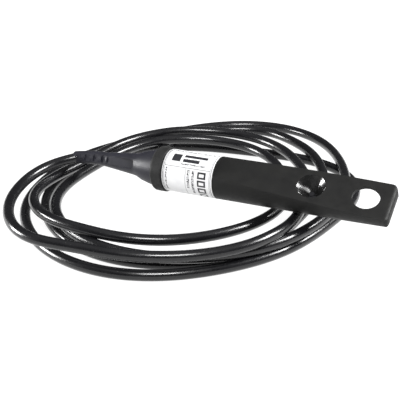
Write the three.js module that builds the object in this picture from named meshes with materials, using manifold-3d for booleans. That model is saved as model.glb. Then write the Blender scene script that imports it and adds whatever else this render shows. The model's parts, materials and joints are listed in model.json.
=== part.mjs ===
// A light sensor probe on a loosely coiled cable. Millimetres, +Z up.
// The probe is drawn along its own +X axis, cable end at the rear, then laid on the coil.
import * as THREE from 'three';
import { mergeVertices } from 'three/addons/utils/BufferGeometryUtils.js';
import Module from 'manifold-3d';

const wasm = await Module();
wasm.setup();

// ---- driving dimensions -------------------------------------------------------------
const BODY_RADIUS = 10;
const BODY_LENGTH = 108.3;        // from the label's rear edge to the tip
const LABEL_LENGTH = 26.5;
const FLAT_HEIGHT = 8;            // top flat above the axis where the label ends
const FLAT_ANGLE = THREE.MathUtils.degToRad(4.5);
const UNDERSIDE_ANGLE = THREE.MathUtils.degToRad(4.4);
const TIP_TOP_RADIUS = 2.2;       // roundings of the tip's edges
const TIP_UNDER_RADIUS = 1.2;
const TIP_CORNER_RADIUS = 3.2;
const WALL = 1.8;
const GAP = 0.3;                  // clearance between pieces that touch
const ROUND_STEPS = 72;           // facets round the body

const WELL_X = 71.6;              // light well centre along the flat
const WELL_RADIUS = 6.5;
const WELL_DEPTH = 5.6;
const WELL_FLOOR_RADIUS = 1.4;
const WELL_BREAK = 3;             // the aperture's bore breaks through into the cavity
const SEAT_DEPTH = 0.25;          // the label lies in a seat this deep
const HOLE_X = 96.4;              // hanging eye
const HOLE_RADIUS = 6.1;
const CAVITY_END = 82;
const POCKET_START = 86.5;
const POCKET_END = 104.6;
const POCKET_HALF_WIDTH = 8.2;
const NOTCH_START = 87.8;         // the strap slot from the eye out through one side
const NOTCH_END = 103;

const BORE_RADIUS = 8.2;
const COLLAR_RADIUS = 10.7;
const COLLAR_LENGTH = 6.4;
const COLLAR_FACE_RADIUS = 9.4;
const SEAL_MIDDLE = 3.4;          // the collar's seal lies in a groove here
const BOOT_END = -53;
const BOOT_END_RADIUS = 3.1;
const BOOT_NECK_X = -36;
const BOOT_NECK_RADIUS = 3.5;
const BOOT_BORE_RADIUS = 2.65;
// x and radius along the boot's flare, from its neck to the collar
const BOOT_FLARE = [[-33.7, 3.75], [-19, 5.4], [-17, 5.85], [-14.3, 7.1], [-10, 8.2]];
const BOOT_FRONT_RADIUS = 8.9;
const BOOT_STEPS = 64;
const BOOT_TURN = THREE.MathUtils.degToRad(41);   // its ribs face sideways, not up
const BEND_START = -38;           // from here the boot's thin end leans with the cable
const BEND_ACROSS = -2.2;
const BEND_UP = 0.55;
const RIB_COUNT = 4;
const RIB_PITCH = 4.6;
const SLOT_START = -51;           // the slots between the ribs
const SLOT_WIDTH = 2.6;
const SLOT_HALF = 1.9;
const SLOT_FLOOR = 2.8;
const PANEL_START = -33.7;        // the long sunk panel beyond them
const PANEL_END = -17.6;
const PANEL_HALF = 2.2;
const PANEL_FLOOR = 3.35;
const CLAMP_REAR = -5.6;
const CLAMP_FRONT = -1.6;
const CLAMP_THICKNESS = 0.95;
const JACKET_FRONT = 3;           // the jacket is stripped from here on, inside the probe
const CABLE_RADIUS = 2.5;
const CORE_RADIUS = 0.75;
const CORE_CIRCLE = 1.15;         // distance of each core from the cable's middle
const CORES = {
  brown: { colour: 0x5b3a22, angle: Math.PI / 2, side: 0 },
  blue: { colour: 0x2b5fa8, angle: Math.PI * 7 / 6, side: -1 },
  black: { colour: 0x161616, angle: Math.PI * 11 / 6, side: 1 },
};

const POTTING_REAR = 7.4;
const POTTING_FRONT = 11;
const TERMINAL_REAR = 15;
const BOARD_REAR = 12.5;
const BOARD_FRONT = 74.5;
const BOARD_WIDTH = 11;
const BOARD_THICKNESS = 0.8;
const BOARD_TOP = -3;
const SOLDER_GAP = 0.1;

const AXIS_HEIGHT = 20.4;         // probe axis above the surface, at the label's rear edge
const PROBE_TILT = THREE.MathUtils.degToRad(1.6);
const PROBE_ROLL = THREE.MathUtils.degToRad(29.5);

const COIL_MIDDLE = new THREE.Vector2(5, 12);
const COIL_HEIGHT = 10.2;         // two layers of cable
// reach of the coil's outer and inner edge, every eighth of a turn from +X, anticlockwise
const COIL_OUTER = [75, 90, 114, 88, 79, 92, 94, 80];
const COIL_INNER = [44, 46, 61, 59, 54, 64, 65, 50];

// the cable from the boot to the top of the coil: x, y and height above the surface
const LEAD_ROUTE = [
  [-54.5, -3, 18], [-58.5, -7.1, 17.3], [-61.7, -14.6, 16.4], [-63.2, -22.6, 15.6],
  [-63.2, -30.6, 14.8], [-61.4, -39, 14],
];

// the cable from the coil's inner edge to its stripped end, inside the coil
const TAIL_ROUTE = [
  [-34.5, 53, 2.5], [-34.2, 48.5, 2.5], [-32, 43, 2.5], [-26, 37.5, 2.5], [-18, 34.6, 2.5],
  [-9, 34, 2.5],
];
const END_CORE_LENGTH = 20;
const END_CORE_SPREAD = 3.4;
const FERRULE_RADIUS = 1.35;

// ---- materials ----------------------------------------------------------------------
function finish(color, roughness, metalness = 0) {
  return new THREE.MeshStandardMaterial({ color, roughness, metalness });
}
const shellPlastic = () => finish(0x2b2b2c, 0.62);
const collarPlastic = () => finish(0x262627, 0.8);
const bootRubber = () => finish(0x3a3a42, 0.5);
const cableSkin = () => finish(0x121213, 0.25);
const paper = () => finish(0xf2f2f2, 0.5);
const tintedGlass = () => finish(0x101012, 0.1);
const boardGreen = () => finish(0x1d5c3a, 0.5);
const chipBlack = () => finish(0x1a1a1a, 0.6);
const ceramic = () => finish(0xb99a6b, 0.6);
const tantalum = () => finish(0xc99a2e, 0.5);
const resin = () => finish(0x1b1b1b, 0.35);
const sealRubber = () => finish(0x202020, 0.7);
const tinned = () => finish(0xb8b8b8, 0.35, 1);

// ---- solids -------------------------------------------------------------------------
function toSolid(geometry) {
  const plain = new THREE.BufferGeometry();
  plain.setAttribute('position', geometry.getAttribute('position').clone());
  if (geometry.index) plain.setIndex(geometry.index.clone());
  const merged = mergeVertices(plain, 1e-4);
  const corners = merged.index.array;
  const triVerts = [];
  for (let i = 0; i < corners.length; i += 3) {
    const [a, b, c] = corners.slice(i, i + 3);
    if (a !== b && b !== c && c !== a) triVerts.push(a, b, c);
  }
  return new wasm.Manifold(new wasm.Mesh({
    numProp: 3,
    vertProperties: Float32Array.from(merged.getAttribute('position').array),
    triVerts: Uint32Array.from(triVerts),
  }));
}

function toGeometry(solid) {
  const mesh = solid.getMesh();
  const geometry = new THREE.BufferGeometry();
  geometry.setAttribute('position', new THREE.BufferAttribute(mesh.vertProperties, 3));
  geometry.setIndex(new THREE.BufferAttribute(mesh.triVerts, 1));
  geometry.computeVertexNormals();
  return geometry;
}

// a solid turned about the X axis, from [x, radius] corners listed from rear to front
function turned(corners, steps = ROUND_STEPS) {
  const points = corners.map(([x, radius]) => new THREE.Vector2(radius, x));
  return new THREE.LatheGeometry(points, steps).rotateZ(-Math.PI / 2);
}

function rod(x0, x1, radius, steps = ROUND_STEPS) {
  return turned([[x0, 0], [x0, radius], [x1, radius], [x1, 0]], steps);
}

// a ring about the X axis; the profile closes on itself
function ring(x0, x1, inner, outer, steps = ROUND_STEPS) {
  return turned([[x0, inner], [x0, outer], [x1, outer], [x1, inner], [x0, inner]], steps);
}

// an outline in the X-Z plane, as thick as width along Y, centred on the axis
function sideProfile(shape, width) {
  const slab = new THREE.ExtrudeGeometry(shape, {
    depth: width, bevelEnabled: false, curveSegments: 6,
  });
  return slab.translate(0, 0, -width / 2).rotateX(Math.PI / 2);
}

// a box given by its lowest and highest corners
function block([x0, y0, z0], [x1, y1, z1]) {
  const box = new THREE.BoxGeometry(x1 - x0, y1 - y0, z1 - z0);
  return box.translate((x0 + x1) / 2, (y0 + y1) / 2, (z0 + z1) / 2);
}

function outline(corners) {
  return new THREE.Shape(corners.map(([x, y]) => new THREE.Vector2(x, y)));
}

const flatTop = (x) => FLAT_HEIGHT - (x - LABEL_LENGTH) * Math.tan(FLAT_ANGLE);
const underside = (x) => -BODY_RADIUS + (x - LABEL_LENGTH) * Math.tan(UNDERSIDE_ANGLE);

// moves a solid drawn about the Z axis onto the flat at x, its axis square to the flat
function ontoFlat(geometry, x) {
  return geometry.rotateY(FLAT_ANGLE).translate(x, 0, flatTop(x));
}

function turnedUpright(corners, steps) {
  const points = corners.map(([radius, z]) => new THREE.Vector2(radius, z));
  return new THREE.LatheGeometry(points, steps).rotateX(Math.PI / 2);
}

// ---- probe shell --------------------------------------------------------------------
// the space between the top flat and the underside, from x0 to the rounded tip
function wedgeOutline() {
  const clear = 2 * BODY_RADIUS;
  const step = LABEL_LENGTH + GAP;
  const top = flatTop(BODY_LENGTH);
  const bottom = underside(BODY_LENGTH);
  const shape = new THREE.Shape();
  shape.moveTo(-1, -clear);
  shape.lineTo(-1, clear);
  shape.lineTo(step, clear);
  shape.lineTo(step, flatTop(step));
  shape.lineTo(BODY_LENGTH - TIP_TOP_RADIUS, flatTop(BODY_LENGTH - TIP_TOP_RADIUS));
  shape.quadraticCurveTo(BODY_LENGTH, top, BODY_LENGTH, top - TIP_TOP_RADIUS);
  shape.lineTo(BODY_LENGTH, bottom + TIP_UNDER_RADIUS);
  shape.quadraticCurveTo(
    BODY_LENGTH, bottom, BODY_LENGTH - TIP_UNDER_RADIUS, underside(BODY_LENGTH - TIP_UNDER_RADIUS),
  );
  shape.lineTo(LABEL_LENGTH, underside(LABEL_LENGTH));
  shape.lineTo(LABEL_LENGTH, -clear);
  shape.closePath();
  return shape;
}

// the same space, smaller all round by the wall, as far as the cavity goes
function cavityOutline() {
  const rear = -2;
  return outline([
    [rear, underside(rear) + WALL], [rear, flatTop(rear) - WALL],
    [CAVITY_END, flatTop(CAVITY_END) - WALL], [CAVITY_END, underside(CAVITY_END) + WALL],
  ]);
}

// the body from above: straight sides and rounded tip corners
function tipPlan() {
  const side = BODY_RADIUS + 1;
  const tipHalf = Math.sqrt(BODY_RADIUS ** 2 - flatTop(BODY_LENGTH) ** 2);
  const cornerStart = BODY_LENGTH - TIP_CORNER_RADIUS;
  const shape = new THREE.Shape();
  shape.moveTo(-1, -side);
  shape.lineTo(cornerStart, -side);
  shape.lineTo(cornerStart, -tipHalf);
  shape.quadraticCurveTo(BODY_LENGTH, -tipHalf, BODY_LENGTH, TIP_CORNER_RADIUS - tipHalf);
  shape.lineTo(BODY_LENGTH, tipHalf - TIP_CORNER_RADIUS);
  shape.quadraticCurveTo(BODY_LENGTH, tipHalf, cornerStart, tipHalf);
  shape.lineTo(cornerStart, side);
  shape.lineTo(-1, side);
  shape.closePath();
  const slab = new THREE.ExtrudeGeometry(shape, {
    depth: 4 * BODY_RADIUS, bevelEnabled: false, curveSegments: 6,
  });
  return slab.translate(0, 0, -2 * BODY_RADIUS);
}

// the light well: a cone down to the window's aperture
function lightWell() {
  const well = ontoFlat(turnedUpright([
    [0, -WELL_DEPTH - WELL_BREAK], [WELL_FLOOR_RADIUS, -WELL_DEPTH - WELL_BREAK],
    [WELL_FLOOR_RADIUS, -WELL_DEPTH], [WELL_RADIUS, 0], [WELL_RADIUS, 2], [0, 2],
  ], 48), WELL_X);
  const aboveBoard = block([0, -20, BOARD_TOP], [BODY_LENGTH, 20, 20]);
  return toSolid(well).intersect(toSolid(aboveBoard));
}

// the wall that hangs into the cavity round the light well
function wellWall() {
  const bottom = -WELL_DEPTH - 0.8;
  const lowerRadius = WELL_FLOOR_RADIUS + 1.2;
  const upperRadius = WELL_RADIUS + 1.5;
  return ontoFlat(turnedUpright([
    [0, bottom], [lowerRadius, bottom], [upperRadius, -WALL], [upperRadius, 1], [0, 1],
  ], 40), WELL_X);
}

function hangingEye() {
  return ontoFlat(turnedUpright([
    [0, -20], [HOLE_RADIUS, -20], [HOLE_RADIUS, 5], [0, 5],
  ], 48), HOLE_X);
}

// the hollow under the eye, open below and through one side
function eyePocket() {
  const top = (x) => flatTop(x) - WALL;
  const pocket = sideProfile(outline([
    [POCKET_START, -20], [POCKET_START, top(POCKET_START)], [POCKET_END, top(POCKET_END)],
    [POCKET_END, -20],
  ]), 2 * POCKET_HALF_WIDTH);
  const notch = sideProfile(outline([
    [NOTCH_START, -20], [NOTCH_START, top(NOTCH_START)], [NOTCH_END, top(NOTCH_END)],
    [NOTCH_END, -20],
  ]), 2 * BODY_RADIUS);
  return toSolid(pocket).add(toSolid(notch.translate(0, BODY_RADIUS, 0)));
}

function probeShell() {
  const width = 3 * BODY_RADIUS;
  const seatRadius = BODY_RADIUS - SEAT_DEPTH;
  const round = turned([
    [GAP, 0], [GAP, seatRadius], [LABEL_LENGTH, seatRadius], [LABEL_LENGTH, BODY_RADIUS],
    [BODY_LENGTH, BODY_RADIUS], [BODY_LENGTH, 0],
  ]);
  const outer = toSolid(round)
    .intersect(toSolid(sideProfile(wedgeOutline(), width)))
    .intersect(toSolid(tipPlan()));
  const cavity = toSolid(rod(-1, CAVITY_END, BORE_RADIUS))
    .intersect(toSolid(sideProfile(cavityOutline(), width)))
    .add(toSolid(rod(-1, LABEL_LENGTH - 2.5, BORE_RADIUS)))
    .subtract(toSolid(wellWall()));
  return toGeometry(outer.subtract(cavity).subtract(lightWell())
    .subtract(toSolid(hangingEye())).subtract(eyePocket()));
}

function labelSleeve() {
  return ring(0.4, LABEL_LENGTH - 0.1, BODY_RADIUS - 0.15, BODY_RADIUS + 0.05);
}

// ---- cable end of the probe ---------------------------------------------------------
function rearCollar() {
  const rear = -COLLAR_LENGTH;
  const spigotRadius = BORE_RADIUS - GAP;
  const spigotLength = 7;
  const grooveRadius = spigotRadius - 1.2;
  const grooveRear = SEAL_MIDDLE - 1;
  const grooveFront = SEAL_MIDDLE + 1;
  const chamfer = 0.5;
  const clampBore = CABLE_RADIUS + CLAMP_THICKNESS + 0.45;
  return turned([
    [rear, clampBore], [rear, COLLAR_FACE_RADIUS],
    [rear + chamfer, COLLAR_FACE_RADIUS + 1.5 * chamfer], [rear + 1.3, COLLAR_RADIUS],
    [-GAP, COLLAR_RADIUS], [0, COLLAR_RADIUS - GAP],
    [0, spigotRadius], [grooveRear, spigotRadius], [grooveRear, grooveRadius],
    [grooveFront, grooveRadius], [grooveFront, spigotRadius], [spigotLength, spigotRadius],
    [spigotLength, clampBore], [rear, clampBore],
  ]);
}

function collarSeal() {
  const outer = BORE_RADIUS - 0.1;
  const inner = BORE_RADIUS - GAP - 1;
  const half = 0.8;
  const corner = 0.3;
  const rear = SEAL_MIDDLE - half;
  const front = SEAL_MIDDLE + half;
  return turned([
    [rear, inner + corner], [rear, outer - corner], [rear + half / 2, outer],
    [front - half / 2, outer], [front, outer - corner], [front, inner + corner],
    [front - half / 2, inner], [rear + half / 2, inner], [rear, inner + corner],
  ]);
}

// corners along a cone, close enough together to bend smoothly
function bendable(x0, x1, radius0, radius1, steps) {
  const corners = [];
  for (let i = 0; i <= steps; i += 1) {
    const t = i / steps;
    corners.push([x0 + t * (x1 - x0), radius0 + t * (radius1 - radius0)]);
  }
  return corners;
}

function bootBody() {
  const bore = BOOT_BORE_RADIUS;
  const front = -COLLAR_LENGTH - GAP;
  return turned([
    ...bendable(BOOT_END, BOOT_NECK_X, BOOT_END_RADIUS, BOOT_NECK_RADIUS, 6),
    ...BOOT_FLARE, [front, BOOT_FRONT_RADIUS],
    ...bendable(front, BOOT_END, bore, bore, 16), [BOOT_END, BOOT_END_RADIUS],
  ], BOOT_STEPS);
}

// leans a solid's thin rear end across and up, as the cable pulls it
function bendBoot(solid) {
  return solid.warp((point) => {
    const t = Math.max(0, (BEND_START - point[0]) / (BEND_START - BOOT_END));
    point[1] += BEND_ACROSS * t * t;
    point[2] += BEND_UP * t * t;
  });
}

// slots leave ribs on two sides of the thin end, and a sunk panel lies beyond them
function strainReliefBoot() {
  const clear = 8;
  let boot = toSolid(bootBody());
  for (const turn of [0, Math.PI]) {
    for (let i = 0; i < RIB_COUNT; i += 1) {
      const x = SLOT_START + i * RIB_PITCH;
      const slot = block([x, -SLOT_HALF, SLOT_FLOOR], [x + SLOT_WIDTH, SLOT_HALF, clear]);
      boot = boot.subtract(toSolid(slot.rotateX(turn + BOOT_TURN)));
    }
    const panel = block([PANEL_START, -PANEL_HALF, PANEL_FLOOR], [PANEL_END, PANEL_HALF, clear]);
    boot = boot.subtract(toSolid(panel.rotateX(turn + BOOT_TURN)));
  }
  return toGeometry(bendBoot(boot));
}

function innerJacket() {
  const rear = BOOT_END + 0.4;
  const jacket = turned([
    [rear, 0], ...bendable(rear, BEND_START, CABLE_RADIUS, CABLE_RADIUS, 6),
    [JACKET_FRONT, CABLE_RADIUS], [JACKET_FRONT, 0],
  ], 24);
  return toGeometry(bendBoot(toSolid(jacket)));
}

function cableClamp() {
  const inner = CABLE_RADIUS + 0.15;
  return ring(CLAMP_REAR, CLAMP_FRONT, inner, inner + CLAMP_THICKNESS, 32);
}

function tube(points, radius, stepsAlong, sides = 10) {
  const path = new THREE.CatmullRomCurve3(points.map((p) => new THREE.Vector3(...p)));
  const section = new THREE.Shape();
  for (let i = 0; i < sides; i += 1) {
    const a = (2 * Math.PI * i) / sides;
    const move = i === 0 ? 'moveTo' : 'lineTo';
    section[move](radius * Math.cos(a), radius * Math.sin(a));
  }
  section.closePath();
  return new THREE.ExtrudeGeometry(section, {
    extrudePath: path, steps: stepsAlong, bevelEnabled: false,
  });
}

// a core leaves the jacket, passes through the potting plug and meets its terminal
function innerCore({ angle, side }, radius = CORE_RADIUS) {
  const y = CORE_CIRCLE * Math.cos(angle);
  const z = CORE_CIRCLE * Math.sin(angle);
  return tube([
    [JACKET_FRONT + GAP, y, z], [POTTING_REAR - 0.9, 1.4 * y, 1.4 * z],
    [POTTING_FRONT, 2.6 * side, 0.6 * z], [TERMINAL_REAR - GAP, 3 * side, 0],
  ], radius, 12, 8);
}

function pottingPlug() {
  let plug = toSolid(rod(POTTING_REAR, POTTING_FRONT, BORE_RADIUS - GAP));
  for (const core of Object.values(CORES)) {
    plug = plug.subtract(toSolid(innerCore(core, CORE_RADIUS + GAP)));
  }
  return toGeometry(plug);
}

// ---- electronics --------------------------------------------------------------------
function onBoard(x, y, length, width, height) {
  const bottom = BOARD_TOP + SOLDER_GAP;
  return block([x, y - width / 2, bottom], [x + length, y + width / 2, bottom + height]);
}

function circuitBoard() {
  const half = BOARD_WIDTH / 2;
  return block([BOARD_REAR, -half, BOARD_TOP - BOARD_THICKNESS], [BOARD_FRONT, half, BOARD_TOP]);
}

function terminalBlock() {
  return onBoard(TERMINAL_REAR, 0, 6.5, 10, 5);
}

function tantalumCapacitor() {
  return onBoard(36, 1.5, 6, 3.2, 2.6);
}

function lightWindow() {
  const radius = WELL_FLOOR_RADIUS - 0.2;
  const top = -WELL_DEPTH - 0.05;
  const bottom = top - 0.7;
  return ontoFlat(turnedUpright([
    [0, bottom], [radius, bottom], [radius, top], [0, top],
  ], 24), WELL_X);
}

function photodiode() {
  const x = WELL_X - (WELL_DEPTH + 1) * Math.sin(FLAT_ANGLE);
  return onBoard(x - 2, 0, 4, 3, 0.55);
}

// ---- cable --------------------------------------------------------------------------
function coilOutline(reach, makePath) {
  const points = reach.map((r, i) => {
    const a = (i * Math.PI) / 4;
    return new THREE.Vector3(COIL_MIDDLE.x + r * Math.cos(a), COIL_MIDDLE.y + r * Math.sin(a), 0);
  });
  const curve = new THREE.CatmullRomCurve3(points, true);
  return makePath(curve.getPoints(64).slice(0, -1).map((p) => new THREE.Vector2(p.x, p.y)));
}

function cableCoil() {
  const edge = 2;
  const shape = coilOutline(COIL_OUTER, (points) => new THREE.Shape(points));
  shape.holes.push(coilOutline(COIL_INNER, (points) => new THREE.Path(points)));
  const ringBody = new THREE.ExtrudeGeometry(shape, {
    depth: COIL_HEIGHT - 2 * edge, bevelThickness: edge, bevelSize: edge,
    bevelOffset: -edge, bevelSegments: 2,
  });
  return ringBody.translate(0, 0, edge);
}

function endCoreRoute({ angle, side }) {
  const [x0, y0, z0] = TAIL_ROUTE.at(-1);
  const y = y0 + CORE_CIRCLE * Math.cos(angle);
  const z = z0 + CORE_CIRCLE * Math.sin(angle);
  const spread = y0 + side * END_CORE_SPREAD;
  return [
    [x0 + GAP, y, z], [x0 + 3, y, z - 0.1], [x0 + 11, y0 + side * 2.4, FERRULE_RADIUS + 0.2],
    [x0 + END_CORE_LENGTH, spread, FERRULE_RADIUS + 0.1],
  ];
}

function endFerrule(core) {
  const [x, y, z] = endCoreRoute(core).at(-1);
  const mouthRadius = 1.1;
  const pinRadius = 0.65;
  const sleeve = 3;
  const length = 9;
  return turned([
    [0, 0], [0, mouthRadius], [0.5, FERRULE_RADIUS], [sleeve, 1.2], [sleeve + 0.2, pinRadius],
    [length, pinRadius], [length, 0],
  ], 20).translate(x + GAP, y, z);
}

// ---- assembly -----------------------------------------------------------------------
function piece(name, geometry, material) {
  const mesh = new THREE.Mesh(geometry, material);
  mesh.name = name;
  return mesh;
}

const probe = new THREE.Group();
probe.add(
  piece('probe_shell', probeShell(), shellPlastic()),
  piece('label_sleeve', labelSleeve(), paper()),
  piece('rear_collar', rearCollar(), collarPlastic()),
  piece('collar_seal', collarSeal(), sealRubber()),
  piece('strain_relief_boot', strainReliefBoot(), bootRubber()),
  piece('cable_clamp', cableClamp(), tinned()),
  piece('inner_jacket', innerJacket(), cableSkin()),
  piece('potting_plug', pottingPlug(), resin()),
  piece('circuit_board', circuitBoard(), boardGreen()),
  piece('terminal_block', terminalBlock(), chipBlack()),
  piece('voltage_regulator', onBoard(25, -2, 6.5, 3.5, 1.7), chipBlack()),
  piece('polarity_diode', onBoard(25, 3, 4.3, 2.6, 2.1), chipBlack()),
  piece('filter_capacitor', tantalumCapacitor(), tantalum()),
  piece('amplifier_chip', onBoard(47, 0, 4.9, 3.9, 1.6), chipBlack()),
  piece('light_window', lightWindow(), tintedGlass()),
  piece('photodiode', photodiode(), chipBlack()),
);
for (const [name, core] of Object.entries(CORES)) {
  probe.add(piece(`inner_core_${name}`, innerCore(core), finish(core.colour, 0.5)));
}
for (let i = 0; i < 4; i += 1) {
  const side = i % 2 === 0 ? -3.6 : 3.6;
  const x = 54 + 4 * Math.floor(i / 2);
  probe.add(piece(`chip_resistor_${i + 1}`, onBoard(x, side, 2, 1.25, 0.5), chipBlack()));
}
for (let i = 0; i < 2; i += 1) {
  const x = 44.4 + 9 * i;
  probe.add(piece(`ceramic_capacitor_${i + 1}`, onBoard(x, 0, 1.25, 2, 1.1), ceramic()));
}
probe.rotation.set(PROBE_ROLL, -PROBE_TILT, 0, 'ZYX');
probe.position.z = AXIS_HEIGHT;

const cable = new THREE.Group();
cable.add(
  piece('cable_lead', tube(LEAD_ROUTE, CABLE_RADIUS, 10, 10), cableSkin()),
  piece('cable_coil', cableCoil(), cableSkin()),
  piece('cable_tail', tube(TAIL_ROUTE, CABLE_RADIUS, 5, 10), cableSkin()),
);
for (const [name, core] of Object.entries(CORES)) {
  const route = tube(endCoreRoute(core), CORE_RADIUS, 8, 8);
  cable.add(piece(`end_core_${name}`, route, finish(core.colour, 0.5)));
  cable.add(piece(`end_ferrule_${name}`, endFerrule(core), tinned()));
}

// the origin is the middle of the probe's own box
const sensor = new THREE.Group();
sensor.add(probe, cable);
sensor.updateMatrixWorld(true);
const middle = new THREE.Box3().setFromObject(probe, true).getCenter(new THREE.Vector3());
sensor.position.copy(middle).negate();
sensor.updateMatrixWorld(true);

export default sensor;
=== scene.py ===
"""Looks for a light sensor probe that lies on its loosely coiled cable.

Sizes are in millimetres and are turned into metres when a mesh or a curve is made.
Two frames are used. The probe's own frame runs along its axis from the label's rear edge
towards the tip, with its flat upwards. The surface frame has the same zero along X, and
its Z is the height above the surface that the cable lies on.
"""
import json
import math

import bmesh
import bpy
import numpy as np
from mathutils import Matrix, Vector


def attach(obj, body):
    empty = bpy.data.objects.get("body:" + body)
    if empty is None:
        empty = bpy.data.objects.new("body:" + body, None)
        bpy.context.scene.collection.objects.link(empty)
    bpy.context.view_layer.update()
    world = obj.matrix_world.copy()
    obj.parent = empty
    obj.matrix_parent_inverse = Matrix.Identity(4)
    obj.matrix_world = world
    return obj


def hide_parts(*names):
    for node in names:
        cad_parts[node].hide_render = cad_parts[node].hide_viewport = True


MM = 0.001

# ---- driving dimensions, as the CAD model has them ----------------------------------
AXIS_HEIGHT = 20.4
PROBE_TILT = math.radians(1.6)
PROBE_ROLL = math.radians(29.5)
PROBE_MIDDLE = Vector((27.681, 0.0, 20.3725))

BODY_RADIUS = 10.0
LABEL_LENGTH = 26.5
FLAT_HEIGHT = 8.0
FLAT_ANGLE = math.radians(4.5)
WELL_X = 71.6
WELL_RADIUS = 6.5
WELL_DEPTH = 5.6
BOOT_END = -53.0
BOOT_PROFILE = [
    # place along the probe and outer radius
    (BOOT_END, 3.1), (-36, 3.5), (-33.7, 3.75), (-19, 5.4), (-17, 5.85), (-14.3, 7.1),
    (-10, 8.2), (-6.7, 8.9),
]
BOOT_BORE = 2.65
BORE_STATIONS = 24
STATION_SPACING = 1.5             # close enough for the boot to bend smoothly
BOOT_TURN = math.radians(41)      # its ribs face sideways, not up
BEND_START = -38.0                # from here the boot's thin end leans with the cable
BEND_ACROSS = -2.2
BEND_UP = 0.55
RIB_COUNT = 4
RIB_PITCH = 4.6
SLOT_START = -51.0
SLOT_WIDTH = 2.6
SLOT_HALF = 1.9
SLOT_FLOOR = 2.8
SLOT_CORNER = 0.8
PANEL_START = -33.7
PANEL_END = -17.6
PANEL_HALF = 2.2
PANEL_FLOOR = 3.35
PANEL_CORNER = 1.3
CUTTER_TOP = 8                    # above the boot's surface wherever it is cut
CABLE_RADIUS = 2.5
CABLE_ROOM = 0.1                  # left between the cable and the probe above it

# ---- how far each piece's edges are rounded -------------------------------------------
SHELL_EDGE = 0.3
COLLAR_EDGE = 0.25
LABEL_EDGE = 0.04
BOOT_EDGE = 0.3

# ---- marks on the label ---------------------------------------------------------------
# each is (from, to) along the probe and (from, to) round it, which is 0 at the top of the
# flat and grows towards the side that the ribs face
LABEL_LINES = [
    ((0.95, 1.2), None), ((1.6, 1.75), None), ((24.95, 25.1), None), ((25.55, 25.8), None),
    ((1.7, 25.0), (-4.75, -4.6)), ((1.7, 25.0), (4.35, 4.55)), ((12.7, 12.85), (4.5, 21.0)),
    ((1.7, 25.0), (20.9, 21.05)),
]
LABEL_BLOCKS = [
    ((4.2, 8.6), (-2.6, 1.8)), ((10.0, 21.8), (-2.6, -0.9)), ((10.0, 18.4), (0.0, 1.8)),
]
LABEL_FRAMES = [((19.0, 23.2), (5.5 + 3.9 * i, 8.7 + 3.9 * i)) for i in range(4)]
LABEL_ROWS = [((3.2, 23.8), (-6.1, -5.3)), ((9.6, 21.8), (2.5, 3.2))]
LABEL_COLUMNS = [((2.35, 3.1), (5.3, 18.0)), ((13.7, 14.9), (5.3, 14.5)),
                 ((16.1, 17.3), (5.3, 17.5))]
FRAME_LINE = 0.85
DASH_LENGTH = 0.3
DASH_WIDTH = 0.35
BLANK_SHARE = 0.42                # the share of dashes that are left out

# ---- the studio ---------------------------------------------------------------------
FLOOR_GLOW = 0.95                 # nearly all of the floor's brightness
ZENITH_GLOW = 0.5                 # the room is lighter overhead than at its walls
WALL_GLOW = 0.06
SOFTBOX_DISTANCE = 0.9
FLOOR_REACH = 3.0                 # metres from its middle to each side
WALL_TOP = 0.6                    # the room stays at its walls' glow up to this height
SOFTBOXES = [
    # name, the way to it from the object, its width and height in metres, its watts
    ("left_box", (-0.93, -0.32, 0.16), (0.34, 0.26), 13),
    ("front_box", (0.30, -0.58, 0.76), (0.34, 0.20), 9),
    ("right_box", (0.68, 0.46, 0.56), (0.42, 0.30), 15),
]

# ---- the cable's route on the surface -----------------------------------------------
BOOT_MOUTH = (-51.5, -1.9, 18.5)  # the cable is seen from here, inside the boot's end
LEAD_ROUTE = [
    (-54.5, -3, 18), (-58.5, -7.1, 17.3), (-61.7, -14.6, 16.4), (-63.2, -22.6, 15.6),
    (-63.2, -30.6, 14.8), (-61.4, -39, 14),
]
# from there, seen from above, it swings out onto the coil's front
FRONT_SWING = [
    (-57.5, -50), (-52.5, -58.7), (-46.5, -66), (-40, -71.8), (-32.5, -76), (-25, -77.6),
    (-16.2, -76.8), (-6, -74.2),
]
COIL_MIDDLE = Vector((5.0, 12.0))
COIL_START_ANGLE = 270
# how far each turn reaches from the coil's middle, every eighth of a turn anticlockwise.
# The turn nearest the boot comes first and lies on top. It starts at the front, and each
# later row starts an eighth of a turn before the front
COIL_REACH = [
    [86, 76.5, 58, 60, 73.5, 70.5, 61.5],
    [78.3, 69, 54, 48, 49.5, 63.5, 62, 57],
    [68, 75, 73, 71, 83, 110, 83, 75],
    [82.5, 86, 74, 71, 86.5, 70, 72, 72],
    [72, 74, 67, 57, 72, 96],
]
TAIL_ROUTE = [
    (-12, 102), (-26, 90.5), (-34.5, 76), (-37, 63), (-35.2, 51.5), (-32, 43.5), (-26, 38),
    (-18, 34.6), (-9, 34),
]
ROUTE_STEP = 4.0                  # spacing of the points that the cable settles on
SETTLE_ROUNDS = 600
LAST_STRETCH = 190                # the cable's last stretch lies over the turn before it,
TURN_BEFORE = 800                 # which is within this length of the cable's end
TOUCH = 0.99                      # how much of its thickness keeps crossing turns apart
LAST_TOUCH = 0.96                 # the share of that lift in the last rounds
LAST_ROUNDS = 20
SAG = 0.006                       # how far a point sinks in each round

CAMERA_PLACE = Vector((189.9, -351.3, 182.7))
CAMERA_FORWARD = Vector((-0.4057, 0.818, -0.4078))
CAMERA_LENS = 81.0

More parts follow.
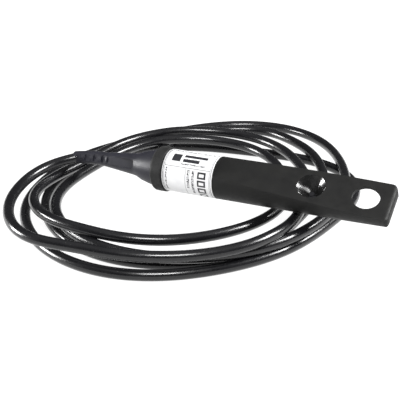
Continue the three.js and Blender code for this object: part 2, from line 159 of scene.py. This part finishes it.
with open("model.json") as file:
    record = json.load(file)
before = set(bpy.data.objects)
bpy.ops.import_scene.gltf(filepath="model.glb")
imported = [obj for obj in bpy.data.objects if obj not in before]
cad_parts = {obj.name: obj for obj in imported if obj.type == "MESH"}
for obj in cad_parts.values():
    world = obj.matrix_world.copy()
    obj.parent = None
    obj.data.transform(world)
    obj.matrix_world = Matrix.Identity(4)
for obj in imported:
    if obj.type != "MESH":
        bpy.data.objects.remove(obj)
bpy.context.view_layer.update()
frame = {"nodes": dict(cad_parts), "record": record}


# ---- helpers ------------------------------------------------------------------------
def from_surface(point):
    """A point in the surface frame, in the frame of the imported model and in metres."""
    return (Vector(point) - PROBE_MIDDLE) * MM


PROBE_PLACE = (
    Matrix.Translation(from_surface((0, 0, AXIS_HEIGHT)))
    @ Matrix.Rotation(-PROBE_TILT, 4, "Y")
    @ Matrix.Rotation(PROBE_ROLL, 4, "X")
    @ Matrix.Scale(MM, 4)
)


def link(obj):
    bpy.context.scene.collection.objects.link(obj)
    return obj


def blend_points(p0, p1, p2, p3, t):
    """A Catmull-Rom curve from p1 to p2."""
    return 0.5 * (
        2 * p1
        + (p2 - p0) * t
        + (2 * p0 - 5 * p1 + 4 * p2 - p3) * t ** 2
        + (3 * p1 - p0 - 3 * p2 + p3) * t ** 3
    )


def smooth_through(points, per_step):
    points = np.array(points, float)
    last = len(points) - 1
    line = []
    for i in range(last):
        near = [points[min(max(i + k, 0), last)] for k in (-1, 0, 1, 2)]
        for j in range(per_step):
            line.append(blend_points(*near, j / per_step))
    line.append(points[-1])
    return np.array(line)


def travelled(line):
    steps = np.linalg.norm(np.diff(line, axis=0), axis=1)
    return np.concatenate([[0], np.cumsum(steps)])


def respaced(line, step):
    along = travelled(line)
    count = int(round(along[-1] / step))
    stops = np.linspace(0, along[-1], count + 1)
    return np.stack([np.interp(stops, along, axis) for axis in line.T], axis=1)


# ---- camera -------------------------------------------------------------------------
def make_camera():
    data = bpy.data.cameras.new("camera")
    data.lens = CAMERA_LENS
    data.sensor_width = 36
    data.clip_start = 0.01
    camera = link(bpy.data.objects.new("camera", data))
    camera.location = from_surface(CAMERA_PLACE)
    camera.rotation_mode = "QUATERNION"
    camera.rotation_quaternion = CAMERA_FORWARD.to_track_quat("-Z", "Y")
    bpy.context.scene.camera = camera


# ---- cable --------------------------------------------------------------------------
def coil_turns():
    """The coil's route from above: a reach that changes smoothly as the angle grows."""
    reach = [r for turn in COIL_REACH for r in turn]
    line = smooth_through([(k * 45 + COIL_START_ANGLE, r) for k, r in enumerate(reach)], 6)
    angle = np.radians(line[:, 0])
    middle = np.array(COIL_MIDDLE)
    return middle + line[:, 1:] * np.stack([np.cos(angle), np.sin(angle)], axis=1)


def route_from_above():
    start = [BOOT_MOUTH] + LEAD_ROUTE + FRONT_SWING
    turns = coil_turns()
    lead = smooth_through([p[:2] for p in start] + [tuple(turns[0])], 8)[:-1]
    tail = smooth_through([tuple(turns[-1])] + TAIL_ROUTE, 8)[1:]
    line = respaced(np.concatenate([lead, turns, tail]), ROUTE_STEP)
    return smoothed(line, 8)


def room_under_probe(plan):
    """The greatest height of the cable's middle that clears the probe above it."""
    clear = BODY_RADIUS + CABLE_RADIUS + CABLE_ROOM
    axis = AXIS_HEIGHT + plan[:, 0] * math.tan(PROBE_TILT)
    beside = np.abs(plan[:, 1]) >= clear
    below = axis - np.sqrt(np.maximum(clear ** 2 - plan[:, 1] ** 2, 0))
    return np.where(beside | (plan[:, 0] < LABEL_LENGTH), np.inf, below)


def smoothed(values, rounds):
    values = values.copy()
    for _ in range(rounds):
        inner = 0.25 * values[:-2] + 0.5 * values[1:-1] + 0.25 * values[2:]
        values[1:-1] = inner
    return values


def settled_heights(plan):
    """Each point's height, with every turn lifted over the turns wound below it.

    The cable sinks a little and is smoothed in each round, as a stiff cable is, and is
    lifted wherever it would cut into a turn below or the surface. The smoothing takes
    back part of that lift, so steep crossings still cut in by up to 0.7 mm. Its lead from
    the boot keeps its own heights.
    """
    thick = 2 * CABLE_RADIUS
    along = travelled(plan)
    apart = np.linalg.norm(plan[:, None] - plan[None], axis=2)
    later = along[None, :] - along[:, None] > 5 * thick
    above, below = np.where((apart < thick) & later)
    from_end = along[-1] - along
    swapped = (from_end[below] < LAST_STRETCH) & (from_end[above] < TURN_BEFORE)
    above, below = np.where(swapped, below, above), np.where(swapped, above, below)
    lift = np.sqrt(np.maximum((TOUCH * thick) ** 2 - apart[above, below] ** 2, 0))
    lead = np.array([BOOT_MOUTH] + LEAD_ROUTE)
    lead_along = travelled(lead[:, :2])
    held = along <= lead_along[-1]
    lead_height = np.interp(along, lead_along, lead[:, 2])
    ceiling = room_under_probe(plan)
    heights = np.full(len(plan), CABLE_RADIUS)

    def lifted(heights, share):
        lowest = np.full(len(plan), CABLE_RADIUS)
        np.maximum.at(lowest, above, heights[below] + share * lift)
        return np.maximum(heights, lowest)

    for _ in range(SETTLE_ROUNDS):
        heights = smoothed(lifted(heights, 1.0), 4) - SAG
        heights = np.minimum(np.maximum(heights, CABLE_RADIUS), ceiling)
        heights[held] = lead_height[held]
    for _ in range(LAST_ROUNDS):
        heights = lifted(heights, LAST_TOUCH)
        heights[held] = lead_height[held]
    return smoothed(heights, 1)


def cable_line():
    plan = route_from_above()
    line = np.column_stack([plan, settled_heights(plan)])
    return smooth_through(line, 2)


def tube_mesh(name, line, radius):
    """A round tube that follows the line, with its ends closed flat."""
    data = bpy.data.curves.new(name, "CURVE")
    data.dimensions = "3D"
    data.bevel_depth = radius * MM
    data.bevel_resolution = 12
    data.use_fill_caps = True
    data.twist_mode = "MINIMUM"
    spline = data.splines.new("POLY")
    spline.points.add(len(line) - 1)
    for point, place in zip(spline.points, line):
        point.co = (*from_surface(place), 1)
    guide = link(bpy.data.objects.new(name + "_guide", data))
    mesh = bpy.data.meshes.new_from_object(guide.evaluated_get(
        bpy.context.evaluated_depsgraph_get()))
    mesh.name = name
    bpy.data.objects.remove(guide)
    tool = bmesh.new()
    tool.from_mesh(mesh)
    bmesh.ops.remove_doubles(tool, verts=tool.verts, dist=0.001 * MM)
    tool.to_mesh(mesh)
    tool.free()
    mesh.shade_smooth()
    mesh.set_sharp_from_angle(angle=math.radians(50))
    return mesh


def make_cable():
    line = cable_line()
    cable = link(bpy.data.objects.new("cable", tube_mesh("cable", line, CABLE_RADIUS)))
    cable.data.materials.append(cable_skin())
    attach(cable, "root")
    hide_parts("cable_lead", "cable_coil", "cable_tail")


# ---- materials ----------------------------------------------------------------------
class Paint:
    """A material whose look is worked out by nodes. Lengths are in millimetres."""

    def __init__(self, name, roughness=0.5, specular=0.5):
        self.material = bpy.data.materials.new(name)
        self.material.use_nodes = True
        self.nodes = self.material.node_tree.nodes
        self.links = self.material.node_tree.links
        self.shader = self.nodes["Principled BSDF"]
        self.shader.inputs["Roughness"].default_value = roughness
        self.shader.inputs["Specular IOR Level"].default_value = specular
        self.place = self.nodes.new("ShaderNodeTexCoord").outputs["Object"]

    def put(self, value, socket):
        if isinstance(value, bpy.types.NodeSocket):
            self.links.new(value, socket)
        else:
            socket.default_value = value

    def noise(self, size, detail=2.0):
        """Noise from 0 to 1 whose blotches are about size across."""
        node = self.nodes.new("ShaderNodeTexNoise")
        node.inputs["Scale"].default_value = 1 / (size * MM)
        node.inputs["Detail"].default_value = detail
        self.links.new(self.place, node.inputs["Vector"])
        return node.outputs["Fac"]

    def between(self, value, low, high, start=0.3, end=0.7):
        """Stretches a value's range from start..end to low..high."""
        node = self.nodes.new("ShaderNodeMapRange")
        self.put(value, node.inputs["Value"])
        node.inputs["From Min"].default_value = start
        node.inputs["From Max"].default_value = end
        node.inputs["To Min"].default_value = low
        node.inputs["To Max"].default_value = high
        return node.outputs["Result"]

    def math(self, operation, *values):
        node = self.nodes.new("ShaderNodeMath")
        node.operation = operation
        for value, socket in zip(values, node.inputs):
            self.put(value, socket)
        return node.outputs["Value"]

    def mix(self, share, first, second):
        node = self.nodes.new("ShaderNodeMix")
        node.data_type = "RGBA"
        for value, name in ((share, "Factor_Float"), (first, "A_Color"), (second, "B_Color")):
            socket = next(s for s in node.inputs if s.identifier == name)
            self.put(value if isinstance(value, (float, bpy.types.NodeSocket))
                     else (*value, 1), socket)
        return next(s for s in node.outputs if s.identifier == "Result_Color")

    def colour(self, value):
        value = value if isinstance(value, bpy.types.NodeSocket) else (*value, 1)
        self.put(value, self.shader.inputs["Base Color"])

    def rough(self, value):
        self.put(value, self.shader.inputs["Roughness"])

    def bump(self, height, depth):
        node = self.nodes.new("ShaderNodeBump")
        node.inputs["Strength"].default_value = 1.0
        node.inputs["Distance"].default_value = depth * MM
        self.links.new(height, node.inputs["Height"])
        self.links.new(node.outputs["Normal"], self.shader.inputs["Normal"])


def moulded(name, dark, light, roughness, grain, depth, specular=0.5):
    """Moulded plastic or rubber: uneven colour and gloss, and a fine grained surface."""
    paint = Paint(name, specular=specular)
    paint.colour(paint.mix(paint.between(paint.noise(6.0, 4), 0.0, 1.0), dark, light))
    low, high = roughness
    paint.rough(paint.between(paint.noise(2.5, 6), low, high))
    paint.bump(paint.noise(grain, 3), depth)
    return paint.material


def shell_plastic():
    return moulded("shell_plastic", (0.0065, 0.0065, 0.0065), (0.010, 0.010, 0.0095),
                   (0.45, 0.60), 0.35, 0.03, specular=0.18)


def collar_plastic():
    return moulded("collar_plastic", (0.006, 0.006, 0.006), (0.016, 0.016, 0.016),
                   (0.55, 0.8), 0.6, 0.12, specular=0.25)


def boot_rubber():
    return moulded("boot_rubber", (0.011, 0.011, 0.015), (0.017, 0.017, 0.023),
                   (0.40, 0.52), 0.5, 0.02, specular=0.3)


def cable_skin():
    paint = Paint("cable_skin", specular=0.3)
    paint.shader.inputs["Coat Weight"].default_value = 0.4
    paint.shader.inputs["Coat Roughness"].default_value = 0.15
    dust = paint.between(paint.noise(0.45, 2), 0.0, 1.0, 0.73, 0.80)
    black = paint.mix(paint.between(paint.noise(9.0, 3), 0.0, 1.0),
                      (0.004, 0.004, 0.005), (0.007, 0.007, 0.008))
    paint.colour(paint.mix(dust, black, (0.10, 0.10, 0.09)))
    gloss = paint.between(paint.noise(4.0, 5), 0.24, 0.31)
    paint.rough(paint.math("ADD", gloss, paint.math("MULTIPLY", dust, 0.3)))
    paint.bump(paint.noise(3.0, 2), 0.012)
    return paint.material


def simple(name, colour, roughness, metallic=0.0):
    """A small part's material: slightly uneven colour and gloss."""
    paint = Paint(name)
    light = tuple(min(1.0, c * 1.25) for c in colour)
    paint.colour(paint.mix(paint.between(paint.noise(1.5, 3), 0.0, 1.0), colour, light))
    paint.rough(paint.between(paint.noise(1.0, 3), roughness * 0.85, roughness * 1.15))
    paint.bump(paint.noise(0.4, 2), 0.01)
    paint.shader.inputs["Metallic"].default_value = metallic
    return paint.material


def label_paper():
    """White label with ruled lines and plain generic marks, printed by position."""
    paint = Paint("label_paper", specular=0.5)
    local = paint.nodes.new("ShaderNodeMapping")
    local.vector_type = "TEXTURE"
    local.inputs["Location"].default_value = PROBE_PLACE.to_translation()
    local.inputs["Rotation"].default_value = PROBE_PLACE.to_euler()
    local.inputs["Scale"].default_value = PROBE_PLACE.to_scale()
    paint.links.new(paint.place, local.inputs["Vector"])
    split = paint.nodes.new("ShaderNodeSeparateXYZ")
    paint.links.new(local.outputs["Vector"], split.inputs["Vector"])
    along, across, up = split.outputs
    angle = paint.math("ARCTAN2", across, up)
    around = paint.math("MULTIPLY", angle, -BODY_RADIUS)

    def within(value, span):
        low, high = span
        return paint.math("COMPARE", value, (low + high) / 2, (high - low) / 2)

    def area(mark):
        inside = within(along, mark[0])
        if mark[1] is None:
            return inside
        return paint.math("MULTIPLY", inside, within(around, mark[1]))

    def specks(value, other):
        """Uneven dashes that run along value."""
        cells = paint.nodes.new("ShaderNodeTexWhiteNoise")
        cells.noise_dimensions = "2D"
        grid = paint.nodes.new("ShaderNodeCombineXYZ")
        for source, socket, size in ((value, "X", DASH_LENGTH), (other, "Y", DASH_WIDTH)):
            step = paint.math("FLOOR", paint.math("DIVIDE", source, size))
            paint.links.new(step, grid.inputs[socket])
        paint.links.new(grid.outputs["Vector"], cells.inputs["Vector"])
        return paint.math("GREATER_THAN", cells.outputs["Value"], BLANK_SHARE)

    def shrunk(mark, by):
        return tuple((low + by, high - by) for low, high in mark)

    ink = [area(mark) for mark in LABEL_LINES + LABEL_BLOCKS]
    for mark in LABEL_FRAMES:
        ink.append(paint.math("SUBTRACT", area(mark), area(shrunk(mark, FRAME_LINE))))
    for mark in LABEL_ROWS:
        ink.append(paint.math("MULTIPLY", area(mark), specks(along, around)))
    for mark in LABEL_COLUMNS:
        ink.append(paint.math("MULTIPLY", area(mark), specks(around, along)))
    total = ink[0]
    for more in ink[1:]:
        total = paint.math("MAXIMUM", total, more)
    paper = paint.mix(paint.between(paint.noise(3.0, 4), 0.0, 1.0),
                      (0.60, 0.60, 0.61), (0.66, 0.66, 0.66))
    paint.colour(paint.mix(total, paper, (0.015, 0.015, 0.018)))
    paint.rough(paint.between(paint.noise(1.2, 3), 0.30, 0.42))
    paint.bump(paint.noise(1.5, 3), 0.01)
    return paint.material


# ---- pieces -------------------------------------------------------------------------
def new_piece(name, mesh, slot, *stands_for):
    piece = link(bpy.data.objects.new(name, mesh))
    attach(piece, "root")
    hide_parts(*stands_for)
    return piece


def finished_mesh(piece):
    """The piece's mesh with its modifiers worked in."""
    bpy.context.view_layer.update()
    mesh = bpy.data.meshes.new_from_object(
        piece.evaluated_get(bpy.context.evaluated_depsgraph_get()))
    bpy.data.objects.remove(piece)
    return mesh


def rounded_edges(mesh, width, segments=3, angle=28):
    """Rounds each edge of the mesh that turns by more than the angle."""
    piece = link(bpy.data.objects.new("work", mesh))
    bevel = piece.modifiers.new("bevel", "BEVEL")
    bevel.width = width * MM
    bevel.segments = segments
    bevel.limit_method = "ANGLE"
    bevel.angle_limit = math.radians(angle)
    bevel.miter_outer = "MITER_ARC"
    bevel.use_clamp_overlap = True
    done = finished_mesh(piece)
    done.shade_smooth()
    done.set_sharp_from_angle(angle=math.radians(35))
    piece = link(bpy.data.objects.new("work", done))
    weights = piece.modifiers.new("normals", "WEIGHTED_NORMAL")
    weights.keep_sharp = True
    return finished_mesh(piece)


def refined_copy(node, width, segments=3, angle=28):
    """A CAD node's mesh, cleaned, with its edges rounded."""
    mesh = frame["nodes"][node].data.copy()
    tool = bmesh.new()
    tool.from_mesh(mesh)
    bmesh.ops.remove_doubles(tool, verts=tool.verts, dist=0.002 * MM)
    bmesh.ops.dissolve_limit(tool, angle_limit=math.radians(0.8),
                             verts=tool.verts, edges=tool.edges)
    tool.to_mesh(mesh)
    tool.free()
    mesh.materials.clear()
    return rounded_edges(mesh, width, segments, angle)


def well_polish():
    """The light well is polished, with a faint fine grain."""
    paint = Paint("well_polish", specular=0.5)
    paint.colour(paint.mix(paint.between(paint.noise(3.0, 3), 0.0, 1.0),
                           (0.006, 0.006, 0.006), (0.010, 0.010, 0.010)))
    paint.rough(paint.between(paint.noise(1.5, 4), 0.16, 0.26))
    paint.bump(paint.noise(0.5, 3), 0.02)
    paint.shader.inputs["Coat Weight"].default_value = 1.0
    paint.shader.inputs["Coat Roughness"].default_value = 0.12
    return paint.material


def well_faces(mesh):
    """The faces that lie inside the light well."""
    back = PROBE_PLACE.inverted()
    top = FLAT_HEIGHT - (WELL_X - LABEL_LENGTH) * math.tan(FLAT_ANGLE)
    for face in mesh.polygons:
        x, y, z = back @ face.center
        if math.hypot(x - WELL_X, y) < WELL_RADIUS - 0.1 and top - WELL_DEPTH < z < top:
            leans = abs((back.to_3x3() @ face.normal).normalized().z)
            if leans < 0.97:
                yield face


def make_shell():
    mesh = refined_copy("probe_shell", SHELL_EDGE)
    mesh.materials.append(shell_plastic())
    mesh.materials.append(well_polish())
    for face in well_faces(mesh):
        face.material_index = 1
    new_piece("paddle_body", mesh, "shell_plastic", "probe_shell")


def make_collar():
    mesh = refined_copy("rear_collar", COLLAR_EDGE, angle=20)
    mesh.materials.append(collar_plastic())
    new_piece("collar", mesh, "collar_plastic", "rear_collar")


def make_label():
    mesh = refined_copy("label_sleeve", LABEL_EDGE, segments=2)
    mesh.materials.append(label_paper())
    new_piece("label", mesh, "label_paper", "label_sleeve")


def lathe(corners, steps=96):
    """A mesh turned about the X axis, in millimetres, from closed [x, radius] corners."""
    tool = bmesh.new()
    rings = []
    for i in range(steps):
        a = 2 * math.pi * i / steps
        rings.append([tool.verts.new((x, r * math.cos(a), r * math.sin(a)))
                      for x, r in corners])
    for i in range(steps):
        one, two = rings[i], rings[(i + 1) % steps]
        for j in range(len(corners)):
            k = (j + 1) % len(corners)
            tool.faces.new((one[j], one[k], two[k], two[j]))
    bmesh.ops.recalc_face_normals(tool, faces=tool.faces)
    mesh = bpy.data.meshes.new("turned")
    tool.to_mesh(mesh)
    tool.free()
    return mesh


def prism(outline, z0, z1):
    """A closed prism over an outline in the X-Y plane, in millimetres."""
    tool = bmesh.new()
    low = [tool.verts.new((x, y, z0)) for x, y in outline]
    high = [tool.verts.new((x, y, z1)) for x, y in outline]
    tool.faces.new(low[::-1])
    tool.faces.new(high)
    for i in range(len(outline)):
        j = (i + 1) % len(outline)
        tool.faces.new((low[i], low[j], high[j], high[i]))
    bmesh.ops.recalc_face_normals(tool, faces=tool.faces)
    mesh = bpy.data.meshes.new("prism")
    tool.to_mesh(mesh)
    tool.free()
    return mesh


def round_cornered(x0, x1, half, radius, steps=6):
    """A rectangle's outline with round corners."""
    outline = []
    for x, y, start in ((x1, half, 0), (x0, half, 90), (x0, -half, 180), (x1, -half, 270)):
        centre = (x - math.copysign(radius, x - x0 - 0.01), y - math.copysign(radius, y))
        for i in range(steps + 1):
            a = math.radians(start + 90 * i / steps)
            outline.append((centre[0] + radius * math.cos(a),
                            centre[1] + radius * math.sin(a)))
    return outline


def cut(mesh, cutters):
    """The mesh with every cutter taken away."""
    piece = link(bpy.data.objects.new("work", mesh))
    tools = []
    for cutter in cutters:
        tool = link(bpy.data.objects.new("cutter", cutter))
        tools.append(tool)
        step = piece.modifiers.new("cut", "BOOLEAN")
        step.operation = "DIFFERENCE"
        step.solver = "EXACT"
        step.object = tool
    done = finished_mesh(piece)
    for tool in tools:
        bpy.data.objects.remove(tool)
    return done


def boot_outline():
    """The boot's profile with stations close enough to bend, and its bore."""
    outer = []
    for (x0, r0), (x1, r1) in zip(BOOT_PROFILE, BOOT_PROFILE[1:]):
        count = max(1, int((x1 - x0) / STATION_SPACING))
        for i in range(count):
            t = i / count
            outer.append((x0 + t * (x1 - x0), r0 + t * (r1 - r0)))
    outer.append(BOOT_PROFILE[-1])
    stations = np.linspace(BOOT_PROFILE[-1][0], BOOT_END, BORE_STATIONS)
    bore = [(x, BOOT_BORE) for x in stations]
    return outer + bore


def bent(x, y, z):
    t = max(0.0, (BEND_START - x) / (BEND_START - BOOT_END))
    return x, y + BEND_ACROSS * t * t, z + BEND_UP * t * t


def make_boot():
    cutters = []
    for side in (0, math.pi):
        turn = Matrix.Rotation(BOOT_TURN + side, 4, "X")
        for i in range(RIB_COUNT):
            x = SLOT_START + i * RIB_PITCH
            outline = round_cornered(x, x + SLOT_WIDTH, SLOT_HALF, SLOT_CORNER)
            slot = prism(outline, SLOT_FLOOR, CUTTER_TOP)
            slot.transform(turn)
            cutters.append(slot)
        outline = round_cornered(PANEL_START, PANEL_END, PANEL_HALF, PANEL_CORNER)
        panel = prism(outline, PANEL_FLOOR, CUTTER_TOP)
        panel.transform(turn)
        cutters.append(panel)
    mesh = cut(lathe(boot_outline()), cutters)
    for vertex in mesh.vertices:
        vertex.co = bent(*vertex.co)
    mesh.transform(PROBE_PLACE)
    mesh = rounded_edges(mesh, BOOT_EDGE, segments=3, angle=30)
    mesh.materials.clear()
    mesh.materials.append(boot_rubber())
    new_piece("boot", mesh, "boot_rubber", "strain_relief_boot")


SMALL_FINISHES = {
    "seal_rubber": ((0.02, 0.02, 0.02), 0.6, 0.0),
    "cable_skin": ((0.012, 0.012, 0.013), 0.3, 0.0),
    "dark_window": ((0.008, 0.008, 0.01), 0.12, 0.0),
    "board_laminate": ((0.02, 0.11, 0.05), 0.4, 0.0),
    "chip_black": ((0.02, 0.02, 0.02), 0.5, 0.0),
    "ceramic_part": ((0.45, 0.33, 0.20), 0.5, 0.0),
    "tantalum_yellow": ((0.55, 0.36, 0.06), 0.4, 0.0),
    "potting_resin": ((0.015, 0.015, 0.016), 0.25, 0.0),
    "tinned_metal": ((0.62, 0.62, 0.60), 0.3, 1.0),
    "core_brown": ((0.11, 0.05, 0.02), 0.35, 0.0),
    "core_blue": ((0.03, 0.10, 0.35), 0.35, 0.0),
    "core_black": ((0.012, 0.012, 0.012), 0.35, 0.0),
}


def finish_small_parts():
    """The CAD nodes whose shape is right keep it, and take a finish from their slot."""
    slots = {part["node"]: part["material_slot"] for part in frame["record"]["subparts"]}
    finishes = {}
    for name, node in frame["nodes"].items():
        slot = slots[name]
        if slot not in SMALL_FINISHES:
            continue
        if slot not in finishes:
            finishes[slot] = simple(slot + "_part", *SMALL_FINISHES[slot])
        node.data.materials.clear()
        node.data.materials.append(finishes[slot])


# ---- stage --------------------------------------------------------------------------
def floor_paper():
    """A white floor that is lit almost wholly by its own glow, so it shows hardly any shadow."""
    paint = Paint("floor_paper", specular=0.0)
    paint.colour(paint.mix(paint.between(paint.noise(400.0, 2), 0.0, 1.0),
                           (0.15, 0.15, 0.15), (0.17, 0.17, 0.17)))
    paint.rough(0.9)
    paint.shader.inputs["Emission Color"].default_value = (1, 1, 1, 1)
    paint.shader.inputs["Emission Strength"].default_value = FLOOR_GLOW
    return paint.material


def make_stage():
    mesh = bpy.data.meshes.new("floor")
    tool = bmesh.new()
    bmesh.ops.create_grid(tool, x_segments=4, y_segments=4, size=FLOOR_REACH)
    tool.to_mesh(mesh)
    tool.free()
    floor = link(bpy.data.objects.new("floor", mesh))
    floor.location.z = from_surface((0, 0, 0)).z - 0.0001
    mesh.materials.append(floor_paper())
    world = bpy.data.worlds.new("studio")
    world.use_nodes = True
    nodes, links = world.node_tree.nodes, world.node_tree.links
    way = nodes.new("ShaderNodeTexCoord")
    split = nodes.new("ShaderNodeSeparateXYZ")
    glow = nodes.new("ShaderNodeMapRange")
    glow.inputs["To Min"].default_value = WALL_GLOW
    glow.inputs["To Max"].default_value = ZENITH_GLOW
    glow.inputs["From Min"].default_value = WALL_TOP
    links.new(way.outputs["Generated"], split.inputs["Vector"])
    links.new(split.outputs["Z"], glow.inputs["Value"])
    links.new(glow.outputs["Result"], nodes["Background"].inputs["Strength"])
    nodes["Background"].inputs["Color"].default_value = (1, 1, 1, 1)
    bpy.context.scene.world = world
    bpy.context.scene.view_settings.view_transform = "Standard"


def make_softbox(name, direction, size, power):
    data = bpy.data.lights.new(name, "AREA")
    data.shape = "RECTANGLE"
    data.size, data.size_y = size
    data.energy = power
    lamp = link(bpy.data.objects.new(name, data))
    away = Vector(direction).normalized()
    lamp.location = away * SOFTBOX_DISTANCE
    lamp.rotation_mode = "QUATERNION"
    lamp.rotation_quaternion = (-away).to_track_quat("-Z", "Y")


make_camera()
make_cable()
make_shell()
make_label()
make_collar()
make_boot()
finish_small_parts()
make_stage()
for name, direction, size, power in SOFTBOXES:
    make_softbox(name, direction, size, power)
